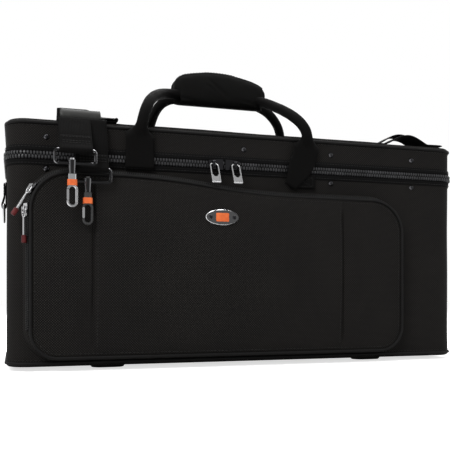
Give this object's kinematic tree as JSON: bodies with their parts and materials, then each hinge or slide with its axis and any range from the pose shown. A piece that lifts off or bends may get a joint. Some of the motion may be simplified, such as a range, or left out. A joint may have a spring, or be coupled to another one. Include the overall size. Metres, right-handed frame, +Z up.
{
  "type": "flugelhorn case",
  "caption": "Soft-sided rectangular instrument case with a zipped hinged lid, a bowed front pocket, paired carrying handles and a shoulder strap.",
  "frame": {"origin": "on the floor, under the middle of the whole case, with the hooks that hang out in front counted in; the body's own middle is 10.95 mm behind it", "axes": "+X along the length to the right as seen from the pocket side, -Y towards the pocket side, +Z up"},
  "size_m": [0.5918, 0.2388, 0.379],
  "materials": {
    "outer_fabric": "woven, matt",
    "board": "raw pressed board",
    "plush_lining": "short plush",
    "lining_foam": "plush over firm foam",
    "piping_cord": "covered cord, slight sheen",
    "zip_coil": "coiled nylon on woven tape",
    "webbing": "tight ribbed webbing",
    "polished_metal": "polished",
    "dark_metal": "darkened, polished",
    "black_plastic": "moulded, satin",
    "foot_rubber": "matt",
    "orange_band": "soft, matt",
    "red_tip": "soft, satin",
    "plate_metal": "gloss",
    "grip_pad": "padded, knitted"
  },
  "bodies": {
    "base": {"base_cover": "outer_fabric", "base_board": "board", "base_padding": "plush_lining", "bell_block": "lining_foam", "valve_block": "lining_foam", "mouthpiece_block": "lining_foam", "base_piping": "piping_cord", "base_zip": "zip_coil", "base_hinge_tape": "webbing", "base_rivets": "dark_metal", "feet": "foot_rubber", "foot_screws": "polished_metal", "end_tabs": "webbing", "pocket_gusset": "outer_fabric", "pocket_outer_zip": "zip_coil", "front_anchors": "webbing", "rear_anchors": "webbing"},
    "lid": {"lid_cover": "outer_fabric", "lid_board": "board", "lid_padding": "plush_lining", "lid_piping": "piping_cord", "lid_zip": "zip_coil", "lid_hinge_tape": "webbing", "lid_rivets": "dark_metal", "shoulder_strap": "webbing", "strap_adjuster_1": "black_plastic", "strap_adjuster_2": "black_plastic"},
    "pocket_flap": {"pocket_panel": "outer_fabric", "pocket_piping": "piping_cord", "pocket_inner_zip": "zip_coil", "badge_plate": "plate_metal", "badge_inlay": "orange_band", "badge_screws": "dark_metal"},
    "front_handle": {"front_handle": "webbing", "grip_front": "grip_pad"},
    "rear_handle": {"rear_handle": "webbing", "grip_rear": "grip_pad"},
    "d_ring_left": {"d_ring_left": "polished_metal"},
    "d_ring_right": {"d_ring_right": "polished_metal"},
    "strap_end_1": {"strap_end_1": "webbing"},
    "strap_eye_1": {"strap_eye_1": "polished_metal"},
    "snap_hook_1": {"snap_hook_1": "black_plastic", "hook_band_1": "orange_band"},
    "hook_gate_1": {"hook_gate_1": "polished_metal"},
    "main_slider_1": {"main_slider_1": "polished_metal"},
    "main_pull_1": {"main_pull_1": "polished_metal"},
    "pocket_slider_1": {"pocket_slider_1": "polished_metal"},
    "pocket_pull_1": {"pocket_pull_1": "polished_metal", "pocket_pull_tip_1": "red_tip"},
    "strap_end_2": {"strap_end_2": "webbing"},
    "strap_eye_2": {"strap_eye_2": "polished_metal"},
    "snap_hook_2": {"snap_hook_2": "black_plastic", "hook_band_2": "orange_band"},
    "hook_gate_2": {"hook_gate_2": "polished_metal"},
    "main_slider_2": {"main_slider_2": "polished_metal"},
    "main_pull_2": {"main_pull_2": "polished_metal"},
    "pocket_slider_2": {"pocket_slider_2": "polished_metal"},
    "pocket_pull_2": {"pocket_pull_2": "polished_metal", "pocket_pull_tip_2": "red_tip"}
  },
  "joints": [
    {"name": "lid_hinge", "type": "hinge", "parent": "base", "child": "lid", "pos_m": [0, 0.10505, 0.243], "axis": [-1, 0, 0], "range_deg": [0, 84]},
    {"name": "front_handle_fold", "type": "hinge", "parent": "base", "child": "front_handle", "pos_m": [0, -0.08715, 0.234], "axis": [1, 0, 0], "range_deg": [0, 127]},
    {"name": "rear_handle_fold", "type": "hinge", "parent": "base", "child": "rear_handle", "pos_m": [0, 0.10905, 0.234], "axis": [-1, 0, 0], "range_deg": [0, 127]},
    {"name": "pocket_hinge", "type": "hinge", "parent": "base", "child": "pocket_flap", "pos_m": [0, -0.09061, 0.01434], "axis": [-1, 0, 0], "range_deg": [-32, 0]},
    {"name": "d_ring_left_swing", "type": "hinge", "parent": "base", "child": "d_ring_left", "pos_m": [-0.2925, 0.01095, 0.196], "axis": [0, 1, 0], "range_deg": [0, 100]},
    {"name": "d_ring_right_swing", "type": "hinge", "parent": "base", "child": "d_ring_right", "pos_m": [0.2925, 0.01095, 0.196], "axis": [0, -1, 0], "range_deg": [0, 100]},
    {"name": "main_slider_1_slide", "type": "slide", "parent": "base", "child": "main_slider_1", "axis": [1, 0, 0], "range_m": [-0.06, 0]},
    {"name": "main_slider_2_slide", "type": "slide", "parent": "base", "child": "main_slider_2", "axis": [1, 0, 0], "range_m": [0, 0.05]},
    {"name": "main_pull_1_swing", "type": "hinge", "parent": "main_slider_1", "child": "main_pull_1", "pos_m": [-0.052, -0.08863, 0.243], "axis": [-1, 0, 0], "range_deg": [0, 120]},
    {"name": "main_pull_2_swing", "type": "hinge", "parent": "main_slider_2", "child": "main_pull_2", "pos_m": [-0.025, -0.08863, 0.243], "axis": [-1, 0, 0], "range_deg": [0, 120]},
    {"name": "pocket_slider_1_slide", "type": "hinge", "parent": "pocket_flap", "child": "pocket_slider_1", "pos_m": [-0.221, -0.09061, 0.18], "axis": [0, 1, 0], "range_deg": [0, 54]},
    {"name": "pocket_slider_2_slide", "type": "slide", "parent": "pocket_flap", "child": "pocket_slider_2", "axis": [0, 0, 1], "range_m": [-0.135, 0]},
    {"name": "pocket_pull_1_swing", "type": "hinge", "parent": "pocket_slider_1", "child": "pocket_pull_1", "pos_m": [-0.26315, -0.09306, 0.20532], "axis": [-0.4253, 0.8683, 0.2555], "range_deg": [0, 100]},
    {"name": "pocket_pull_2_swing", "type": "hinge", "parent": "pocket_slider_2", "child": "pocket_pull_2", "pos_m": [-0.27017, -0.09306, 0.18], "axis": [-0.4961, 0.8682, 0], "range_deg": [0, 55]},
    {"name": "strap_end_1_swing", "type": "hinge", "parent": "lid", "child": "strap_end_1", "pos_m": [-0.22, -0.08605, 0.287], "axis": [-1, 0, 0], "range_deg": [0, 84]},
    {"name": "strap_eye_1_swing", "type": "hinge", "parent": "strap_end_1", "child": "strap_eye_1", "pos_m": [-0.22, -0.11505, 0.244], "axis": [1, 0, 0], "range_deg": [-120, 0]},
    {"name": "snap_hook_1_swivel", "type": "hinge", "parent": "strap_eye_1", "child": "snap_hook_1", "pos_m": [-0.22, -0.11505, 0.214], "axis": [0, 0, 1], "continuous": true},
    {"name": "hook_gate_1_press", "type": "hinge", "parent": "snap_hook_1", "child": "hook_gate_1", "pos_m": [-0.2247, -0.11505, 0.1999], "axis": [0, -1, 0], "range_deg": [0, 22], "stiffness_Nm_per_rad": 0.02, "springref_deg": -11.46},
    {"name": "strap_end_2_swing", "type": "hinge", "parent": "lid", "child": "strap_end_2", "pos_m": [-0.2025, -0.08605, 0.287], "axis": [-1, 0, 0], "range_deg": [0, 84]},
    {"name": "strap_eye_2_swing", "type": "hinge", "parent": "strap_end_2", "child": "strap_eye_2", "pos_m": [-0.2025, -0.10645, 0.226], "axis": [1, 0, 0], "range_deg": [-120, 0]},
    {"name": "snap_hook_2_swivel", "type": "hinge", "parent": "strap_eye_2", "child": "snap_hook_2", "pos_m": [-0.2025, -0.10645, 0.196], "axis": [0, 0, 1], "continuous": true},
    {"name": "hook_gate_2_press", "type": "hinge", "parent": "snap_hook_2", "child": "hook_gate_2", "pos_m": [-0.2072, -0.10645, 0.1819], "axis": [0, -1, 0], "range_deg": [0, 22], "stiffness_Nm_per_rad": 0.02, "springref_deg": -11.46}
  ],
  "couplings": [
    {"joint": "front_handle_fold", "follows": "lid_hinge", "ratio": 1.5},
    {"joint": "rear_handle_fold", "follows": "lid_hinge", "ratio": 1.5},
    {"joint": "strap_end_1_swing", "follows": "pocket_hinge", "ratio": -2.6},
    {"joint": "strap_end_2_swing", "follows": "pocket_hinge", "ratio": -2.6},
    {"joint": "strap_eye_2_swing", "follows": "strap_eye_1_swing", "ratio": 1}
  ]
}
